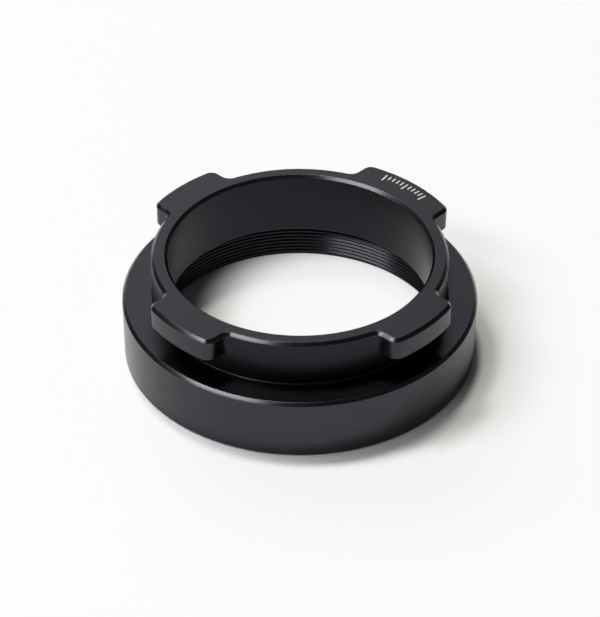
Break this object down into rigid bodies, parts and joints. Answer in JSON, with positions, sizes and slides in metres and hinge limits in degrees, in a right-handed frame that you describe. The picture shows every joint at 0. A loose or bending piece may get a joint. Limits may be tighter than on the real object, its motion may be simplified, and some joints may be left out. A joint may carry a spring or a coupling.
{
  "type": "lens mount adapter",
  "caption": "Black anodised adapter ring: a wide flange with an internal filter thread below, and a bored neck with bayonet lugs above, to join a threaded lens to a bayonet mount.",
  "frame": {"origin": "centre of the flange's base, on the axis of the bore", "axes": "+Z along the bore axis, from the threaded base to the rim with the lugs; the wide key lug lies between +X and +Y"},
  "size_m": [0.0623, 0.0622, 0.0197],
  "materials": {
    "black_anodised_aluminium": "fine blasted and black anodised, satin",
    "white_infill": "matt white paint, wiped into shallow engraved index lines"
  },
  "bodies": {
    "root": {"adapter_ring": "black_anodised_aluminium"}
  },
  "joints": []
}
